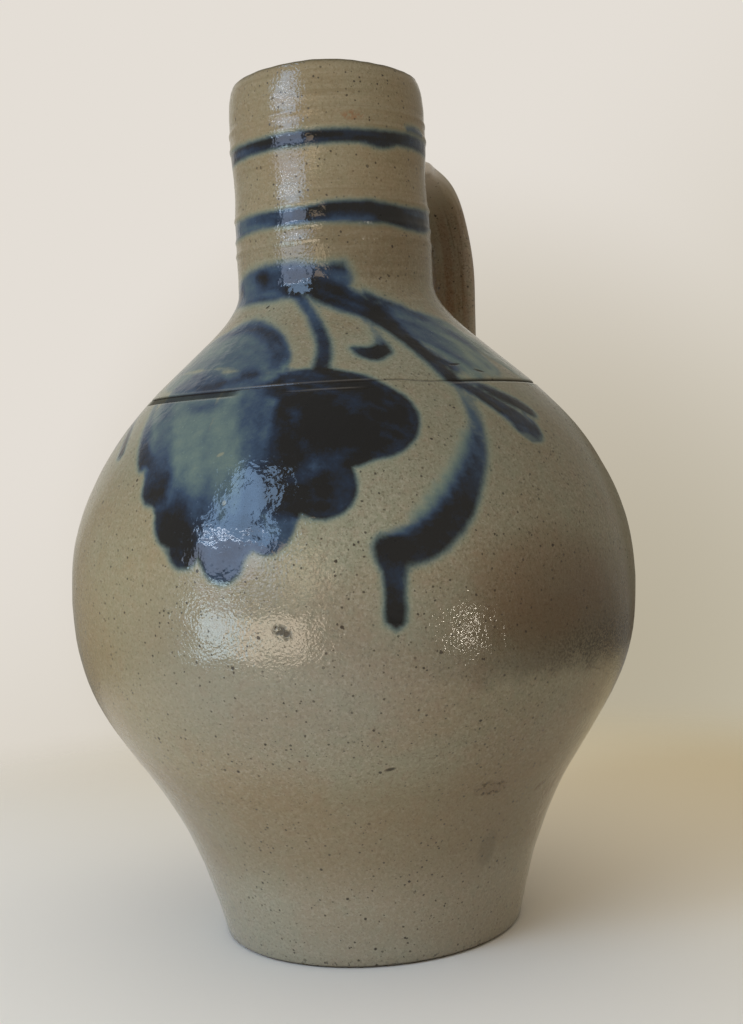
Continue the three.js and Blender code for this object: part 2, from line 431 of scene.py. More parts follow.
def within(value, start, rise, end, fall):
    """1 from a start to an end, with a soft rise after the one and a soft fall to the other."""
    return ease((value - start) / rise) * ease((end - value) / fall)


pot_places = vertex_places(pot)
pot_angle = np.degrees(np.arctan2(pot_places[:, 0], -pot_places[:, 1]))
pot_level = pot_places[:, 2]
pot_reach = np.hypot(pot_places[:, 0], pot_places[:, 1])
depth = pot_radius(pot_level) - pot_reach
inside = np.clip((depth - 1.2) / 3, 0, 1) * (pot_level > 1)
outside = 1 - inside

# Rings left by the fingers, which climb a little as the wheel turns
climb = pot_level + pot_angle / 360 * 5
up_only = climb[:, None] * (0, 0, 1)
round_only = pot_places * (1, 1, 0)
rings = 0.16 * grain(up_only, 9, 1) + 0.07 * grain(up_only, 3.4, 2)
swell = 0.25 * grain(pot_places * (1, 1, 3), 60, 3)
on_neck = np.clip((pot_level - 228) / 8, 0, 1)

# Turned ridges and a slight waist on the neck, whose wall shows fine throwing lines
ridge_levels = (282.4, 277.0, 252.5, 245.0, 240.0)
ridges = sum(0.36 * hump(pot_level, level, 0.9) for level in ridge_levels)
waist = -0.7 * hump(pot_level, 263, 9)

# The line cut round the shoulder. The point goes in twice at the front left, where the clay
# between is scraped out, and deepest at the right. It leaves a thin raised edge beside it.
drop = within(pot_angle, 44, 10, 175, 12)
first_level = 189.8 - 1.05 * drop + 0.15 * grain(round_only, 30, 5)
scraped = within(pot_angle, -48, 8, 2, 3)
twice = within(pot_angle, 14, 3, 39, 4)
deep = within(pot_angle, 57, 6, 165, 15)
first_cut = hump(pot_level, first_level, 0.24 + 0.2 * deep) * (0.6 + 0.4 * deep)
second_cut = 0.5 * hump(pot_level, first_level - 2.5, 0.22) * twice
scrape = 0.8 * scraped * within(pot_level, 187.6, 0.4, 190.1, 0.4)
cut_share = np.clip(first_cut + second_cut + scrape, 0, 1)
patchy = ease(0.55 + 1.3 * grain(round_only, 5, 6))
# The raised edge shows at the front only and stands highest near 7 degrees round; there it is later painted
# paler, partly as a painted highlight
shown = within(pot_angle, -50, 8, 44, 8)
bright = 0.6 + 0.4 * hump(pot_angle, 7, 9)
upper_edge = hump(pot_level, first_level + 0.4, 0.15) * shown * bright
lower_edge = hump(pot_level, first_level - 2.45, 0.2) * scraped * patchy
lower_edge += hump(pot_level, first_level - 0.95, 0.22) * deep
second_edge = 0.8 * hump(pot_level, first_level - 2.1, 0.15) * twice * patchy
raised_share = np.clip(upper_edge + lower_edge + second_edge, 0, 1)
cut = -0.4 * cut_share
burr = 0.07 * raised_share

# Where the wall was pushed out at the left of the shoulder
bulge = 0.9 * hump(pot_angle, -52, 34) * hump(pot_level, 195, 24)
# Room for all of this inside the pot's real width
slack = -0.25 * hump(pot_level, belly_height, 42)

push = (rings + swell + (ridges + waist) * on_neck + cut + burr + bulge + slack) * outside
push += 0.5 * rings * inside
push *= np.clip(pot_level / 6, 0, 1)
push = np.minimum(push, belly_radius - 0.02 - pot_reach)
push = np.where(pot_reach < 1, 0, push)
lean = pot_lean(pot_level) * outside
steep = np.sqrt(1 + lean**2)
sideways = pot_places[:, :2] / np.maximum(pot_reach, 1)[:, None]
moved = pot_places.copy()
moved[:, :2] += sideways * (push / steep)[:, None]
moved[:, 2] -= push * lean / steep

# The rim dips a little on the side of the small lamp and isn't quite even
rim_share = np.clip((pot_level - 288) / 10, 0, 1)
rim_dip = 1.2 * hump(pot_angle, 84, 34) + 0.3 * grain(round_only, 14, 4) + 0.55
rim_dip += 0.12 * grain(round_only, 4, 7)
moved[:, 2] -= rim_dip * rim_share
moved[:, 2] = np.clip(moved[:, 2], 0, rim_height)
move_vertices(pot, moved)


# Cobalt decoration on the pot
# A flower on a curling stem, a leaf and a feathered plume hang from a collar at the neck's root,
# and two bands ring the neck. They were brushed on in cobalt wash before the firing, so
# thick colour is blue-black, thin colour is grey-green, and every edge has bled into the glaze.
strokes = []


def brush(*dabs, bleed=1.0, hairs=0.2, wipes=False):
    """One stroke through its dabs, each the angle round the jug, the height, half the stroke's
    width and how much colour it leaves, in percent. Bleed widens its soft edge, hairs are the
    marks of the brush's hairs, and a stroke that wipes takes colour off."""
    strokes.append((np.array(dabs, float), bleed, hairs, wipes))


# Collar at the neck's root, with its dark blot and corner
brush(
    (-40, 225.6, 5.6, 62), (-22, 226.6, 6.4, 72), (-8, 226.8, 6.8, 78), (8, 226.6, 6.2, 80),
    (22, 226, 5.6, 78), (31.5, 226.2, 5, 66), bleed=1.6,
)
brush((-17.5, 229.2, 2, 92), (-15, 228.6, 2.2, 92), bleed=1.8)
brush((27, 230.2, 1.4, 70), (33.5, 229.8, 2, 88), bleed=1.8)

# Thin stem down to the flower
brush(
    (3, 223.5, 2.3, 74), (10.5, 220.4, 2.1, 68), (17, 215.1, 2.1, 70), (21.7, 208.9, 2.3, 78),
    (24.6, 202.3, 2.5, 88), (24.2, 195, 2.9, 97), bleed=1.3, hairs=0.1,
)

# Plume that sweeps down to the right from the collar, with its two branches and its wash
brush(
    (8, 225, 2.6, 85), (14.4, 224.6, 3.6, 94), (23.9, 221.8, 5, 98), (36.4, 217.8, 5.6, 96),
    (47.3, 213.4, 5, 90), (51.5, 209.5, 3.6, 82), bleed=1.6,
)
brush(
    (44.5, 212.6, 3, 92), (51.5, 207.4, 3.2, 97), (56.4, 201.2, 3.4, 98), (58.9, 195.8, 3.5, 98),
    (60.5, 189.8, 3.4, 95), bleed=1.6,
)
brush((60, 198, 2.4, 80), (64.5, 192.8, 2.6, 85), bleed=1.8, hairs=0.5)
brush(
    (45, 219.6, 2.4, 85), (60.4, 215.3, 2.3, 74), (70.9, 212.3, 2, 58), (82.9, 210, 1.6, 36),
    bleed=1.8, hairs=0.4,
)
brush(
    (50, 214, 5.5, 60), (62.4, 209.4, 7, 56), (69.7, 205.9, 8, 50), (76, 201.1, 8.5, 46),
    (78, 194, 7, 44), bleed=2, hairs=0.55,
)
brush((56, 208, 4, 40), (63, 203, 4.6, 42), (67.5, 197.5, 5, 44), (70, 191, 4.5, 42), bleed=2.2, hairs=0.5)
brush((61, 204, 0.9, 60), (67, 199.5, 1.2, 66), (72, 194, 0.8, 50), bleed=1.5, hairs=0.3)
brush((58, 210.5, 0.9, 60), (67, 206.5, 1.1, 60), (74, 201.5, 0.7, 30), bleed=1.5, hairs=0.3)
brush(
    (70, 212, 4, 50), (80, 208.4, 6, 46), (88, 203.5, 7, 40), (94, 197, 7, 34), (97, 190, 5, 26),
    bleed=2.2, hairs=0.8,
)
brush((78, 206, 0.9, 40), (83, 201.5, 1.2, 45), (86, 196, 0.8, 30), bleed=1.8, hairs=0.4)

# The plume's two fingers under the cut line, the lower one with a dark rim round its end
brush(
    (66, 188.2, 1.2, 60), (69.6, 185.8, 2.2, 90), (73.2, 183, 2.8, 98), (76.6, 180.4, 3, 100),
    (79.4, 177.4, 2.5, 100), bleed=1.2, hairs=0.1,
)
brush(
    (60, 189.4, 2.2, 84), (65.2, 185, 2.8, 94), (68.6, 180.8, 3.6, 96), (71.8, 176.6, 4.4, 92),
    (74.6, 172.2, 4.3, 86), bleed=1.2,
)
brush(
    (68.6, 177.6, 1, 50), (70.4, 172.6, 1.2, 80), (73.2, 168.8, 1.3, 90), (76.4, 169.4, 1.3, 85),
    (77.4, 173.2, 1.2, 80), (76.6, 176, 0.9, 50), hairs=0.1,
)

# Comma that hangs from the plume
brush(
    (40, 213, 1.1, 40), (41.2, 210.8, 1, 46), (43.7, 206.7, 1.1, 56), (44.2, 203, 1.6, 72),
    (44.3, 201.3, 2.4, 85), bleed=1.5, hairs=0.1,
)
brush(
    (34.2, 201, 1.1, 80), (37.2, 199.6, 2.8, 90), (40.6, 198.9, 4, 97), (43.6, 200, 3.5, 94),
    bleed=1.3, hairs=0,
)

# Leaf over the flower, darker along its arch
brush(
    (-44, 202, 8, 40), (-30, 204.5, 10, 50), (-14, 205, 11, 58), (-3, 203.5, 10.6, 62),
    (4.5, 199.5, 9, 64), bleed=1.4, hairs=0.15,
)
brush(
    (-38, 195.5, 4.5, 40), (-24, 194, 5.4, 44), (-12, 193, 5.4, 44), (2, 192.5, 5, 44),
    bleed=1.5, hairs=0.15,
)
brush(
    (-30, 209.5, 2.6, 30), (-19, 212.4, 3.2, 50), (-9, 212, 3.2, 60), (1.2, 208.6, 3.4, 60),
    (8, 203.9, 3.6, 52), (11.4, 198.4, 3.6, 46), (10.8, 194, 3.3, 40), (7.7, 191.2, 3, 40),
    bleed=1.5, hairs=0.15,
)
brush((-16, 191.6, 1.6, 40), (-6.5, 192, 2.2, 60), (2.4, 194.8, 1.7, 40), bleed=1.6)
brush((-30, 207, 2.6, 20), (-22, 205.4, 2.4, 24), bleed=3, wipes=True)

# The flower: a thin wash first, then its petals from the heavy right one round to the left
brush((-17, 188, 15, 44), (-11, 174, 14, 37), (-5, 161, 11, 36), (0, 150, 8, 46), hairs=0.12)
brush((3, 188, 9.2, 40), (5.5, 172, 9.6, 36), (8, 158, 9.4, 42), (9, 146, 8, 50), bleed=1.4, hairs=0.12)
brush((12, 187, 4, 30), (13.5, 177, 4.6, 34), (14, 167, 4.4, 32), bleed=2.2)
brush((16, 190, 7, 90), (24, 187.5, 10.3, 95), (31, 183, 13.6, 100), (35.6, 177.5, 15.4, 100))
brush((26, 177, 9, 95), (31, 170.8, 9.2, 100), hairs=0.1)
brush((20, 181, 8.6, 88), (23.5, 168, 10.4, 97), (25.3, 157.8, 10.4, 100), hairs=0.16)
brush((17, 168, 6, 90), (18, 156, 7, 95), bleed=2, hairs=0.3)
brush((10, 186, 8, 46), (14, 170, 9, 50), (16, 154, 9, 62), (15.3, 146.5, 8, 72), hairs=0.3)
brush((3, 184, 4.5, 12), (5, 165, 5.5, 6), (8, 148, 7.8, 50), (7, 138, 7.2, 82), bleed=1.1)
brush((-4, 178, 3, 4), (-2, 163, 5, 6), (-1, 150, 6.8, 82), (-1, 141.5, 6.2, 98), bleed=1.1)
brush((-9, 178, 3, 4), (-6, 164, 4.6, 14), (-5.5, 152, 6.2, 90), (-4.8, 148, 6, 97), bleed=1.1)
brush((-25, 187, 2.6, 30), (-17, 178, 3.4, 30), (-13, 168, 5, 60), (-11, 160.6, 6.6, 92), bleed=1.1)
brush((-33, 187.5, 1.9, 50), (-27, 180, 2.1, 65), (-21.8, 173, 2.8, 82), (-18.6, 168.6, 3.2, 92), bleed=1.1)
brush((-13, 185.5, 1.6, 40), (-8, 184.5, 2, 50), (-3, 185.5, 1.6, 40), bleed=2)

# Places between the petals where colour is taken off: a lighter streak that is a painted
# highlight, and a thin place that the brush left
brush((20, 160.5, 1.3, 24), (25, 164.5, 1.9, 34), (31, 168, 1.2, 25), bleed=2, hairs=0.3, wipes=True)
brush((29, 183, 1.1, 20), (33, 181.6, 1.1, 22), bleed=2.5, hairs=0.3, wipes=True)

# Curling stem with the drop at its end, soft along its upper side
brush(
    (61, 187, 1.9, 50), (60.8, 181, 2.3, 58), (59.9, 175.4, 2.7, 66), (56.9, 165, 3.2, 74),
    (53, 156.2, 4.2, 84), (49, 148.1, 5.2, 94), (44.2, 141.5, 5.5, 98), (40.1, 138.8, 5.2, 98),
    (35.9, 139.4, 4.4, 96), bleed=1.5, hairs=0.1,
)
brush(
    (57, 170, 2.8, 30), (53, 160, 3.8, 46), (48.5, 151, 4.6, 56), (43.5, 144.5, 4.4, 54),
    (37, 142, 3, 40), bleed=2, hairs=0.1,
)
brush(
    (56, 171, 3, 10), (51.5, 161.5, 4.2, 15), (46.8, 153.5, 5, 18), (42, 147, 4, 14),
    bleed=2.8, hairs=0.1,
)
brush(
    (36.4, 137.5, 4.8, 96), (36.8, 132.5, 3.8, 88), (36.7, 126, 3.4, 92), (36.5, 118.8, 3.5, 100),
    bleed=1.2, hairs=0.1,
)

# Finger at the left edge, the near end of a plume like the one on the right
brush((-50, 188, 1.5, 50), (-44, 183, 1.7, 70), (-37.5, 177.5, 2, 90), (-33, 171.5, 2.1, 95))
brush((-44, 226, 4, 75), (-56, 218, 5, 80), (-66, 209, 5.5, 70), (-71, 199, 4, 50), bleed=1.5, hairs=0.5)
brush((-54, 212, 3, 60), (-60, 204, 4.5, 50), (-62, 196, 5, 50), (-60, 189, 3, 40), bleed=2, hairs=0.8)
brush((-66, 200, 2.4, 60), (-60, 191, 2.6, 75), (-52, 183, 2.8, 85), (-46, 176, 3, 90))


def around(level, half_width, load, wave, seed):
    """A band round the neck, brushed while the pot turned, so it starts and ends behind."""
    angles = np.arange(-168, 169, 12)
    waver = [wave * noise.noise((a / 40, seed, 0)) for a in angles]
    widths = [half_width + 0.5 * wave * noise.noise((a / 35, seed, 9)) for a in angles]
    loads = [load] * len(angles)
    brush(*zip(angles, level + np.array(waver), widths, loads), hairs=0.25)


around(273.4, 2.35, 96, 0.4, 3.1)
around(247.9, 2.85, 96, 0.5, 7.7)
brush((48, 272, 1, 90), (62, 271.2, 1.9, 95), (75, 272.4, 1, 90))
brush((82, 277.3, 1.1, 70), (90, 277.6, 1.3, 80), (99, 277.3, 1.1, 70))
brush((12, 248.1, 2.4, 90), (30, 248.3, 3.6, 92), (50, 248.1, 3.9, 95), (70, 247.4, 3.3, 95))
brush((62, 246.4, 2.2, 90), (78, 245.2, 2.5, 90), (94, 245, 2.2, 88), (112, 246.6, 1, 80))
brush((22, 245.9, 0.8, 35), (36, 245.6, 1.3, 42), (52, 245.9, 0.8, 35), bleed=2, wipes=True)
brush((-58, 247.9, 3, 20), (-34, 247.9, 3, 30), (-12, 247.9, 3, 28), (2, 248, 2, 10), bleed=2, wipes=True)


def on_pot(angles, heights):
    """Points on the pot's outside, in millimetres."""
    turn = np.radians(angles)
    radius = pot_radius(heights)
    return np.stack([radius * np.sin(turn), -radius * np.cos(turn), heights], axis=-1)


def smooth_path(points, spacing):
    """Points along a smooth curve through a stroke's dabs, and the number of dabs each one has
    passed."""
    padded = np.vstack([2 * points[0] - points[1], points, 2 * points[-1] - points[-2]])
    curve, passed = [], []
    for i in range(len(points) - 1):
        a, b, c, d = padded[i : i + 4]
        length = np.linalg.norm(on_pot(*b) - on_pot(*c))
        count = max(2, int(length / spacing))
        t = np.arange(count)[:, None] / count
        square, cube = t**2, t**3
        bend = (2 * a - 5 * b + 4 * c - d) * square + (3 * b - a - 3 * c + d) * cube
        curve.append(0.5 * (2 * b + (c - a) * t + bend))
        passed.append(i + t[:, 0])
    curve.append(points[-1:])
    passed.append([len(points) - 1.0])
    return np.vstack(curve), np.concatenate(passed)


path_spacing = 0.8
hair_length = 16
hair_width = 2.2
edge_reach = 9
bare_edge = 20.0
paint_edge = np.full(len(pot_places), bare_edge)
paint_load = np.zeros(len(pot_places))
nearest_load = np.zeros(len(pot_places))
wiped = np.zeros(len(pot_places))
on_outside = np.where((inside < 0.01) & (pot_level > 100))[0]
outside_places = on_pot(pot_angle[on_outside], pot_level[on_outside])
for number, (dabs, bleed, hairs, wipes) in enumerate(strokes):
    curve, passed = smooth_path(dabs[:, :2], path_spacing)
    line = on_pot(curve[:, 0], curve[:, 1])
    widths = np.interp(passed, range(len(dabs)), dabs[:, 2])
    margin = widths.max() + edge_reach
    near = np.all(
        (outside_places > line.min(0) - margin) & (outside_places < line.max(0) + margin), axis=1
    )
    chosen = on_outside[near]
    points = outside_places[near]
    gaps = np.linalg.norm(points[:, None] - line[None], axis=2) - widths[None]
    closest = gaps.argmin(axis=1)
    edge = gaps[np.arange(len(points)), closest]
    along = np.gradient(line, axis=0)[closest]
    off = points - line[closest]
    side = np.sign(np.einsum("ij,ij->i", np.cross(along, off), points * (1, 1, 0)))
    across = side * np.linalg.norm(off, axis=1)
    run = closest * path_spacing / hair_length
    lanes = np.stack([run, across / hair_width, np.full(len(points), number * 3.7)], axis=1)
    marks = 1 - hairs * np.clip(0.35 + grain(lanes, 1.0, number), 0, 1)
    load = np.interp(passed[closest], range(len(dabs)), dabs[:, 3] / 100) * marks
    edge = edge / bleed
    left_bare = 1 - ease(0.5 - edge / 3) * load
    if wipes:
        wiped[chosen] = 1 - (1 - wiped[chosen]) * left_bare
        continue
    paint_load[chosen] = 1 - (1 - paint_load[chosen]) * left_bare
    closer = edge < paint_edge[chosen]
    nearest_load[chosen] = np.where(closer, load, nearest_load[chosen])
    paint_edge[chosen] = np.minimum(paint_edge[chosen], edge)
paint_load = np.maximum(paint_load, nearest_load) * (1 - wiped)

# What the glaze reads at each vertex, by its name
for name, values in (
    ("cobalt_edge", paint_edge),
    ("cobalt_load", paint_load),
    ("inside_share", inside),
    ("cut_share", cut_share * outside),
    ("raised_share", raised_share * outside),
    ("rim_share", ease((pot_level - rim_height + 1.6) / 1.4)),
):
    attribute = pot.data.attributes.new(name, "FLOAT", "POINT")
    attribute.data.foreach_set("value", np.asarray(values, np.float32))


# Salt glaze on the pot
# Salt thrown into the kiln turns the clay's own surface to glass, thin and pitted like orange
# peel. Iron in the clay burns through as brown specks, and the flame leaves warm and dark patches.
# Some patches are painted light and shade, and so is the strap's pale root.
peel_size = 0.85 * mm
peel_depth = 0.115
ripple_size = 9 * mm
ripple_depth = 0.34
line_depth = 0.014
paint_thickness = 0.08
puddle_size = 3.6 * mm
puddle_depth = 0.2
cloud_size = 42 * mm
light_grain_size = 1.2 * mm
dark_grain_size = 0.9 * mm
pink_grain_size = 4 * mm
rust_size = 11 * mm
line_spacing = 1.3 * mm
fine_speck_spacing = 1.8 * mm
coarse_speck_spacing = 4.6 * mm
glaze_roughness = 0.1
glaze_index = 1.45
paint_colours = [
    (0.0, "82866F"), (0.2, "6E7768"), (0.38, "596761"), (0.53, "455459"),
    (0.68, "303F50"), (0.82, "1E2734"), (0.95, "1A1918"),
]


def lumps(place, size, detail=2.0, roughness=0.5):
    """A pattern from about 0 to 1 with lumps of a real size."""
    sizes = {"Vector": place, "Scale": 1 / size, "Detail": detail, "Roughness": roughness}
    return add_node("TexNoise", named=sizes)


def all_of(*shares):
    """The share where all of several shares hold."""
    return reduce(lambda a, b: add_node("Math", a, b, operation="MULTIPLY"), shares)


def any_of(*shares):
    """The share where any of several shares holds."""
    return reduce(lambda a, b: add_node("Math", a, b, operation="MAXIMUM"), shares)


def wavered(value, pattern, amount):
    """A value moved up and down by a pattern, evenly about the pattern's middle."""
    return raised(value, add_node("Math", pattern, 0.5, operation="SUBTRACT"), amount)


def tint(clay, *coats):
    """Clay under coats of colour. Each has its share, its colour and the most that it covers."""
    for share, code, most in coats:
        clay = mix_colour(all_of(share, most), clay, srgb(code))
    return clay


def specks(place, spacing, smallest, largest):
    """Round specks of different sizes, one to a cell of the spacing, in the cells that have one."""
    cells = add_node("TexVoronoi", named={"Vector": place, "Scale": 1 / spacing}).node.outputs
    chance = add_node("SeparateColor", cells["Color"]).node.outputs
    size = ramp(chance["Red"], 0.2, 1.0)
    size = raised(smallest / spacing, size, (largest - smallest) / spacing)
    gap = add_node("Math", size, cells["Distance"], operation="SUBTRACT")
    gap = wavered(gap, lumps(place, 0.5 * mm, 1.0), 0.5 * mm / spacing)
    dot = ramp(gap, -0.05 * mm / spacing, 0.1 * mm / spacing)
    return all_of(dot, ramp(chance["Green"], 0.15, 0.6))


def spot(place, angle, height, wide, tall, tilt=0, start=1.25, end=0.55):
    """1 at a place on the pot and 0 beyond an oval of a real size round it, in millimetres. A
    positive tilt lowers its right end."""
    turns = (0, math.radians(tilt), math.radians(angle))
    halves = (wide * mm / 2, wide * mm / 2, tall * mm / 2)
    middle = on_pot(angle, float(height)) * mm
    inward = add_node("Mapping", place, middle, turns, halves, vector_type="TEXTURE")
    far = add_node("VectorMath", inward, output="Value", operation="LENGTH")
    return ramp(far, start, end)


def salt_glaze(name, cool, warm, painted):
    """Salt-glazed stoneware between a cool and a warm grey, with or without the painting."""
    material = bpy.data.materials.new(name)
    start_nodes(material)
    place = add_node("TexCoord", output="Object")
    height = all_of(add_node("SeparateXYZ", place, output="Z"), 1 / mm)

    # The fired clay: broad clouds, a fine mottle of light, dark and pinkish grains, and rust
    clouds = lumps(place, cloud_size, 3.0, 0.55)
    light_grain = lumps(place, light_grain_size, 2.0, 0.7)
    dark_grain = lumps(place, dark_grain_size, 2.0, 0.7)
    pink_grain = lumps(place, pink_grain_size, 3.0, 0.7)
    rust = lumps(place, rust_size, 4.0, 0.65)
    clay = mix_colour(ramp(clouds, 0.36, 0.66), srgb(cool), srgb(warm))
    clay = tint(
        clay,
        (ramp(light_grain, 0.45, 0.7), "A9A08B", 0.42),
        (ramp(dark_grain, 0.5, 0.7), "504736", 0.55),
        (ramp(pink_grain, 0.5, 0.7), "8C7460", 0.26),
        (ramp(pink_grain, 0.5, 0.3), "737860", 0.26),
        (ramp(rust, 0.58, 0.8), "7E6245", 0.35),
    )

    # Lines that the wheel drew round the pot, or that the pulling hand drew down the strap
    stretch = (0.03, 0.03, 1) if painted else (1, 0.04, 0.04)
    along = add_node("Mapping", place, named={"Scale": stretch})
    lines = lumps(along, line_spacing, 3.0, 0.6)
    line_share = raised(0.06, ramp(height, 200, 240), 0.38)
    clay = tint(
        clay,
        (ramp(lines, 0.5, 0.75), "A3977F", line_share),
        (ramp(lines, 0.5, 0.25), "5B503C", line_share),
    )

    fine = specks(place, fine_speck_spacing, 0.17 * mm, 0.42 * mm)
    coarse = specks(place, coarse_speck_spacing, 0.3 * mm, 0.58 * mm)
    speck = any_of(all_of(fine, 0.9), coarse)

    # Relief is in millimetres
    peel = lumps(place, peel_size, 1.0)
    relief = all_of(lumps(place, ripple_size), ripple_depth)
    relief = raised(relief, lines, line_depth)
    roughness = raised(glaze_roughness, speck, 0.25)
    if painted:
        # Broad patches: the warm neck, the shoulder painted darker and cooler as painted shade, the
        # left side painted warmer as painted light from the window, a darker patch over the right, the
        # low neck, paler clay towards the foot, a toasted belt above it, and pearly and tan places
        shoulder = ramp(height, 135, 180)
        toasted = ramp(height, 78, 60)
        clay = tint(
            clay,
            (ramp(height, 200, 262), "85714F", 0.5),
            # The shoulder, painted darker as painted shade
            (all_of(shoulder, ramp(height, 245, 210)), "5F5A43", 0.27),
            # The left side, painted warmer as painted light
            (spot(place, -25, 120, 170, 150, 0, 1.2, 0.3), "8A7B58", 0.35),
            (spot(place, 76, 90, 165, 210, 0, 1.2, 0.2), "4E4531", 0.4),
            (spot(place, 44, 238, 74, 44, 0, 1.2, 0.2), "453823", 0.34),
            (ramp(height, 85, 10), "A09885", 0.4),
            (all_of(toasted, ramp(height, 20, 42)), "69522C", 0.36),
            (spot(place, 14, 102, 130, 76, 0, 1.2, 0.3), "737068", 0.4),
            (spot(place, -45, 108, 150, 120, 0, 1.2, 0.3), "84683C", 0.3),
        )

        # The flame's dark blush on the right of the belly, which ends below in a crisp edge
        lower_end = ramp(raised(height, rust, 14), 100, 108)
        blush = all_of(spot(place, 73, 108, 106, 58, 0, 1.3, 0.3), lower_end)
        hot = spot(place, 66, 124, 60, 40)
        soot = all_of(
            lower_end,
            ramp(height, 116, 102),
            spot(place, 90, 104, 92, 44, 0, 1.1, 0.5),
            ramp(dark_grain, 0.42, 0.56),
        )
        clay = tint(clay, (blush, "3F3323", 0.6), (hot, "5E422A", 0.3), (soot, "221A12", 0.6))

        # The brown inside, the bare edge of the foot and the dark rim
        shares = ("inside_share", "rim_share", "cut_share", "raised_share")
        inner, rim, cut_in, raised_edge_and_highlight, edge, load = (
            add_node("Attribute", output="Fac", attribute_name=attribute)
            for attribute in (*shares, "cobalt_edge", "cobalt_load")
        )
        foot_edge = ramp(height, 1.6, 0.3)
        clay = tint(clay, (inner, "6E5C42", 1), (foot_edge, "574D3B", 1), (rim, "47402F", 0.8))

        # Stuck and broken-off grit from the kiln, a pit, nicks at the foot and two stains
        grit = lumps(place, 1.5 * mm, 2.0, 0.6)
        scar = spot(place, 60.5, 60, 13, 5.6, 4)
        scar_middle = spot(place, 60.5, 60, 8.5, 2.8, 4)
        scar_ring = add_node("Math", scar, scar_middle, operation="SUBTRACT")
        pit = spot(place, 17.5, 116.6, 6.4, 4.2, 28)
        broken = any_of(all_of(scar_ring, ramp(grit, 0.5, 0.6)), pit)
        broken = all_of(broken, ramp(grit, 0.36, 0.58))
        nicks = all_of(ramp(grit, 0.62, 0.7), ramp(height, 4, 1))
        dashes = any_of(
            spot(place, 35, 71.9, 3.6, 1.2, -12),
            spot(place, 65.5, 194.2, 5, 0.9, -4),
            spot(place, 73, 191.9, 4.5, 0.9, 14),
            spot(place, -8, 218.6, 1.6, 0.9, -40),
        )
        flaw = any_of(broken, dashes, nicks)
        smears = any_of(
            spot(place, 80.3, 55.1, 6, 2, -30),
            spot(place, 92, 53.5, 18, 4.6, -28),
            all_of(scar, 0.45),
        )
        stain = all_of(spot(place, 44.4, 280, 8, 3.4), ramp(grit, 0.4, 0.6))
        smudge = spot(place, 65.9, 37, 8, 20)
        clay = tint(clay, (stain, "80502C", 0.5), (smears, "5C4630", 0.65), (smudge, "4B4838", 0.25))

        # Cobalt: the stroke's edge wavers at two sizes, and its load is clouded at two
        edge = wavered(edge, lumps(place, 3.2 * mm, 2.0, 0.6), 0.8)
        edge = wavered(edge, lumps(place, 0.7 * mm, 1.0), 0.4)
        load = wavered(load, lumps(place, 5.5 * mm, 3.0, 0.6), 0.28)
        load = wavered(load, light_grain, 0.14)
        paint = add_node("ValToRGB", load)
        stops = paint.node.color_ramp.elements
        for position, code in paint_colours[1:-1]:
            stops.new(position)
        for element, (position, code) in zip(stops, paint_colours):
            element.position = position
            element.color = srgb(code)

        # Its edge in three layers: a pale halo in the glaze, a bled fringe, and the stroke itself
        halo = all_of(ramp(edge, 2.1, 0.2), ramp(load, 0.1, 0.7))
        fringe = all_of(ramp(edge, 1.2, -0.5), ramp(load, 0.4, 0.85))
        cover = all_of(ramp(edge, 0.45, -1.15), ramp(load, 0, 0.24))
        speck = all_of(speck, raised(1.0, cover, -0.9))
        clay = tint(clay, (speck, "2B2118", 0.9), (halo, "79846F", 0.32), (fringe, "41575A", 0.75))
        clay = mix_colour(cover, clay, paint)
        chips = any_of(
            spot(place, 3.4, 169.3, 2.8, 1.2, -22, 1.2, 0.6),
            spot(place, 6.5, 154.9, 1.4, 2, 0, 1.2, 0.6),
        )
        clay = tint(clay, (chips, "88836A", 0.6), (flaw, "241B12", 0.8))
        # The cut is painted near-black, partly colour pooled in it and partly painted shade in the groove;
        # its raised edge is painted paler, partly bare clay and partly a painted highlight
        clay = tint(clay, (cut_in, "201A14", 0.96), (raised_edge_and_highlight, "9C9285", 0.3))

        # The paint stands proud, calms the orange peel and settles in shallow puddles
        calm = raised(peel_depth, cover, -0.72 * peel_depth)
        relief = raised(relief, peel, calm)
        relief = raised(relief, flaw, -0.2)
        proud = all_of(ramp(edge, 0.6, -2), ramp(load, 0.3, 0.8))
        relief = raised(relief, proud, paint_thickness)
        puddles = all_of(lumps(place, puddle_size), cover)
        relief = raised(relief, puddles, puddle_depth)
        bare = any_of(foot_edge, all_of(inner, 0.5), all_of(cut_in, 0.6))
        dry = all_of(lower_end, spot(place, 118, 135, 90, 130, 0, 1.15, 0.7))
        for share, more in ((bare, 0.45), (cut_in, 0.36), (flaw, 0.3), (dry, 0.42), (cover, -0.02)):
            roughness = raised(roughness, share, more)
    else:
        # Rusty streaks down the strap. Its root is paler, partly its own paler glaze and partly painted
        # light, and nearest the neck it is painted almost white as painted light
        streak = ramp(lumps(along, 4.5 * mm), 0.4, 0.66)
        root = ramp(raised(height, rust, 8), 261.5, 271.5)
        level_place = add_node("VectorMath", place, (1, 1, 0), operation="MULTIPLY")
        from_axis = add_node("VectorMath", level_place, output="Value", operation="LENGTH")
        painted_light_near_neck = all_of(root, ramp(from_axis, 68 * mm, 44 * mm))
        clay = tint(clay, (streak, "7A4C2E", 0.3), (root, "A79B85", 0.75))
        clay = tint(clay, (painted_light_near_neck, "DDD1C4", 0.86), (speck, "2B2118", 0.9))
        relief = raised(relief, peel, peel_depth)
    glaze = {
        "Base Color": clay,
        "Roughness": roughness,
        "IOR": glaze_index,
        "Specular IOR Level": raised(0.5 + 0.7 * glaze_roughness, roughness, -0.7),
        "Normal": add_node("Bump", named={"Height": relief, "Distance": mm, "Strength": 1.0}),
    }
    add_node("OutputMaterial", add_node("BsdfPrincipled", named=glaze))
    return material


pot.data.materials.append(salt_glaze("salt_glazed_stoneware", "86826C", "86785F", True))
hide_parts("thrown_vessel")
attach(pot, "root")


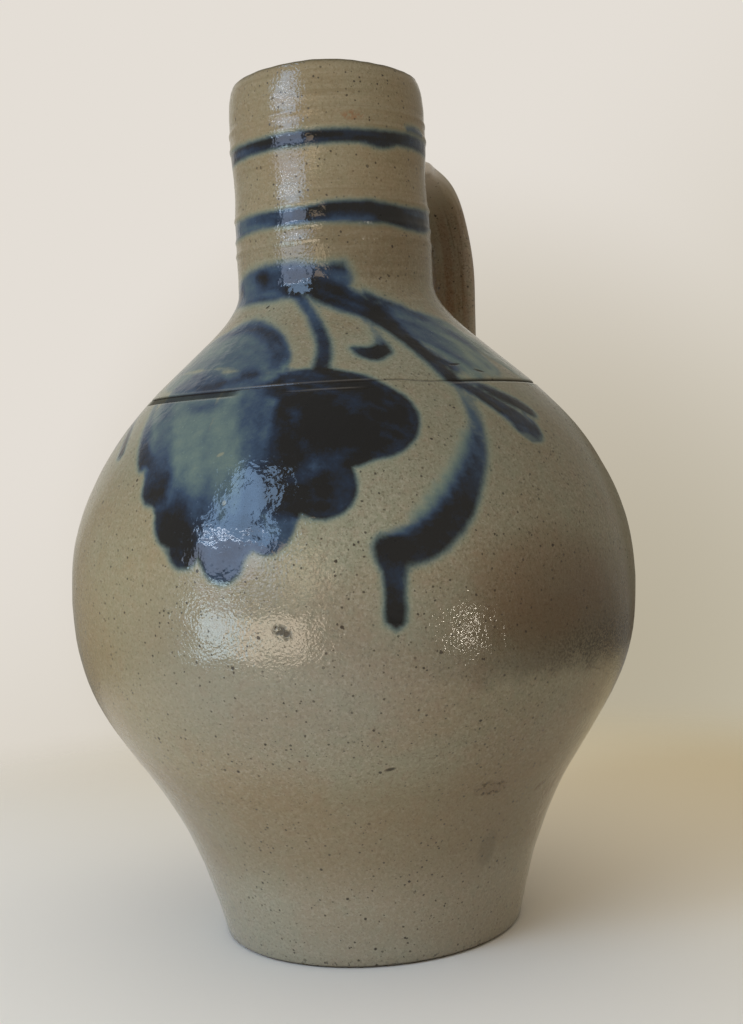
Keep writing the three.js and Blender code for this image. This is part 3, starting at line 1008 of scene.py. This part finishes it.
# Strap handle
# A strap pulled from a lump of wet clay, flat inside and faintly ribbed outside. Its root was
# pressed on the neck, it bends over, and its tail was thumbed flat on the shoulder.
strap_width = 36
strap_thickness = 9
root_flare = 4
root_reach = 11
tail_width = 29
tail_thickness = 5.5
tail_round = 11
tail_dive = 1.8
rib_count = 3
rib_height = 0.7
finger_gap = 41
handle_drop = 26
handle_rise = 2
bend_below_root = 37
upper_bend_reach = 26
upper_bend_rise = 5
upper_bend_round = 30
lower_bend_round = 23
tail_drop = 61
tail_run = 22
strap_reach = neck_radius + finger_gap + strap_thickness / 2
strap_top = rim_height - handle_drop
strap_turns = 72
strap_rows = 150


def strap_line():
    """Points down the middle of the strap, as (distance from the axis, height), with the
    distance along it that each one has come."""
    tip_height = neck_root - tail_drop
    tip = np.array([pot_radius(tip_height), tip_height])
    above_height = tip_height + tail_run / 2
    above = np.array([pot_radius(above_height), above_height])
    uphill = (above - tip) / np.linalg.norm(above - tip)
    bend = np.array([strap_reach, strap_top - bend_below_root])
    upper = bezier(
        (neck_radius - neck_wall, strap_top - handle_rise),
        (neck_radius + upper_bend_reach, strap_top + upper_bend_rise),
        bend + (0, upper_bend_round),
        bend,
        steps=200,
    )
    toward_tip = tip + uphill * tail_run
    lower = bezier(bend, bend - (0, lower_bend_round), toward_tip, tip, steps=200)
    line = np.vstack([upper, lower[1:]])
    steps = np.linalg.norm(np.diff(line, axis=0), axis=1)
    return line, np.concatenate([[0], np.cumsum(steps)])


strap_path, strap_distance = strap_line()
strap_length = strap_distance[-1]


def round_end(distance, end, run):
    """How much of its width a section keeps as it nears a round end."""
    return np.sqrt(np.clip(1 - np.clip(1 - (end - distance) / run, 0, 1) ** 2, 0.0004, 1))


def between(places, known, rows):
    """Rows of values at places between the known ones."""
    return np.stack([np.interp(places, known, column) for column in rows.T], axis=-1)


def strap_frame(distance):
    """The strap's middle and its outward direction at distances along it. It runs on straight
    past both ends."""
    inner = np.clip(distance, 0, strap_length)
    near, far = np.clip(inner - 0.6, 0, None), np.clip(inner + 0.6, None, strap_length)
    ahead = between(far, strap_distance, strap_path) - between(near, strap_distance, strap_path)
    ahead /= np.linalg.norm(ahead, axis=-1, keepdims=True)
    middle = between(inner, strap_distance, strap_path) + ahead * (distance - inner)[..., None]
    return middle, np.stack([-ahead[..., 1], ahead[..., 0]], axis=-1)


def strap_skin(distance, turn, sunk=0.0):
    """A point of the strap's skin at a distance along it and a turn round its section."""
    distance, turn = np.broadcast_arrays(np.asarray(distance, float), np.asarray(turn, float))
    middle, outward = strap_frame(distance)
    from_neck = np.clip(distance - neck_wall, 0, None)
    flare = root_flare * np.exp(-((from_neck / root_reach) ** 2))
    narrowing = ease((distance / strap_length - 0.5) / 0.5)
    pressed = ease(1 - (strap_length - distance) / tail_run)
    width = strap_width + (tail_width - strap_width) * narrowing + 2 * flare
    thickness = strap_thickness + (tail_thickness - strap_thickness) * pressed
    across = np.cos(turn)
    depth = np.sign(np.sin(turn)) * np.abs(np.sin(turn)) ** 0.55
    rib = rib_height * (1 - pressed) * np.clip(depth, 0, 1) * np.cos(rib_count * math.pi * across)
    wobble = np.sin(distance / 13.0) * 0.35 + np.sin(distance / 5.3 + 1) * 0.15
    width_end = round_end(distance, strap_length, tail_round)
    depth_end = round_end(distance, strap_length + 0.5, 7)
    off = (depth * (thickness / 2 - sunk) + rib) * depth_end - tail_dive * (1 - depth_end)
    x = across * (width / 2 - sunk + wobble) * width_end
    return np.concatenate([x[..., None], middle + outward * off[..., None]], axis=-1)


bpy.ops.object.select_all(action="DESELECT")
bpy.ops.mesh.primitive_circle_add(vertices=strap_turns, radius=strap_width / 2 * mm, fill_type="NGON")
strap = bpy.context.active_object
strap.name = "pulled_strap"
row_rise = 1.0 * mm
bpy.ops.object.mode_set(mode="EDIT")
for row in range(strap_rows):
    bpy.ops.mesh.extrude_region_move(TRANSFORM_OT_translate={"value": (0, 0, row_rise)})
bpy.ops.object.mode_set(mode="OBJECT")
strap_places = vertex_places(strap)
strap_row = np.round(strap_places[:, 2] * mm / row_rise)
strap_turn = np.arctan2(strap_places[:, 1], strap_places[:, 0])
buried = neck_radius - 2.5
root_x = np.cos(strap_turn) * (strap_width / 2 + root_flare)
strap_start = np.sqrt(buried**2 - root_x**2) - (neck_radius - neck_wall)
strap_along = strap_start + (strap_length - strap_start) * strap_row / strap_rows
move_vertices(strap, strap_skin(strap_along, strap_turn))
face_outwards(strap)
handle_glaze = salt_glaze("salt_glazed_strap", "958A76", "876F54", False)
strap.data.materials.append(handle_glaze)
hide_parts("strap_handle")
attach(strap, "root")


# Luting clay at the two ends of the strap
# Soft clay was worked in with a fingertip where the strap meets the pot, so that it runs from one
# surface into the other in a hollow curve. The lower end is spread wider than the upper one.
join_turns = 96
join_rows = 22
ring_radius = 20
ring_thickness = 10


def stand_off(points):
    """How far points stand off the pot's outside."""
    level = points[..., 2]
    gap = np.hypot(points[..., 0], points[..., 1]) - pot_radius(level)
    return gap / np.sqrt(1 + pot_lean(level) ** 2)


def meeting_distance(turns, distances):
    """For each turn of the section, the first of the distances at which the strap reaches the pot."""
    off = stand_off(strap_skin(distances[None, :], turns[:, None]))
    reached = off <= 0
    reached[:, -1] = True
    first = np.argmax(reached, axis=1)
    rows_index = np.arange(len(turns))
    above, below = off[rows_index, first - 1], off[rows_index, first]
    share = np.clip(above / np.maximum(above - below, 1e-9), 0, 1)
    return distances[first - 1] + (distances[first] - distances[first - 1]) * share


def pot_normal(points):
    """The pot's outward direction at points near its outside."""
    reach = np.hypot(points[..., 0], points[..., 1])
    lean = pot_lean(points[..., 2])
    normal = np.stack([points[..., 0] / reach, points[..., 1] / reach, -lean], axis=-1)
    return normal / np.linalg.norm(normal, axis=-1, keepdims=True)


def worked_clay(name, node, distances, strap_cover, pot_cover, seed):
    """A collar of clay round one end of the strap. It covers so much of the strap and of the pot,
    and both of its edges run in just under the surface they meet."""
    bpy.ops.object.select_all(action="DESELECT")
    bpy.ops.mesh.primitive_torus_add(
        major_segments=join_turns,
        minor_segments=join_rows,
        major_radius=ring_radius * mm,
        minor_radius=ring_thickness / 2 * mm,
    )
    collar = bpy.context.active_object
    collar.name = name
    places = vertex_places(collar)
    turn = np.arctan2(places[:, 1], places[:, 0])
    round_share = np.arctan2(places[:, 2], np.hypot(places[:, 0], places[:, 1]) - ring_radius)
    round_share = np.round((round_share / (2 * math.pi) % 1) * join_rows) % join_rows
    turns = np.linspace(-math.pi, math.pi, 721)
    meets = meeting_distance(turns, distances)
    corners = strap_skin(meets, turns)
    heading = np.gradient(corners, axis=0)
    away = np.cross(pot_normal(corners), heading)
    away /= np.linalg.norm(away, axis=1, keepdims=True)
    if np.mean(np.einsum("ij,ij->i", away, corners - corners.mean(0))) < 0:
        away = -away
    meet = np.interp(turn, turns, meets)
    corner = between(turn, turns, corners)
    spread_way = between(turn, turns, away)
    back = np.sign(distances[0] - distances[-1])
    thumbs = 1 + 0.22 * np.sin(turn * 5 + seed) + 0.14 * np.sin(turn * 9 + 2 * seed)
    on_strap = strap_skin(meet + back * strap_cover * thumbs, turn, sunk=0.12)
    spread = corner + spread_way * (pot_cover * thumbs)[:, None]
    on_pot_scale = pot_radius(spread[:, 2]) / np.hypot(spread[:, 0], spread[:, 1])
    spread[:, :2] *= on_pot_scale[:, None]
    spread -= pot_normal(spread) * 0.3
    shown = join_rows - 3
    share = (np.clip(round_share, 0, shown) / shown)[:, None]
    dent = 0.25 * np.sin(turn * 7 + seed)[:, None] * share * (1 - share) * 4
    curve = (1 - share) ** 2 * on_strap + 2 * share * (1 - share) * corner + share**2 * spread
    curve += pot_normal(corner) * dent
    deep_corner = corner - pot_normal(corner) * 2.4
    hidden = (np.clip(round_share - shown, 0, 3) / 3)[:, None]
    inner_strap = strap_skin(meet + back * strap_cover * thumbs * 0.5, turn, sunk=1.6)
    buried_row = np.where(hidden < 0.5, (spread + deep_corner) / 2, (inner_strap + deep_corner) / 2)
    move_vertices(collar, np.where(hidden > 0, buried_row, curve))
    face_outwards(collar)
    collar.data.materials.append(handle_glaze)
    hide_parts(node)
    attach(collar, "root")


middle_of_strap = 0.45 * strap_length
worked_clay(
    "upper_worked_clay", "upper_luting_clay", np.linspace(middle_of_strap, -8, 600), 6.5, 4.2, 0.4
)
worked_clay(
    "lower_worked_clay",
    "lower_luting_clay",
    np.linspace(middle_of_strap, strap_length + 1.5, 1200),
    7.0,
    7.5,
    1.9,
)
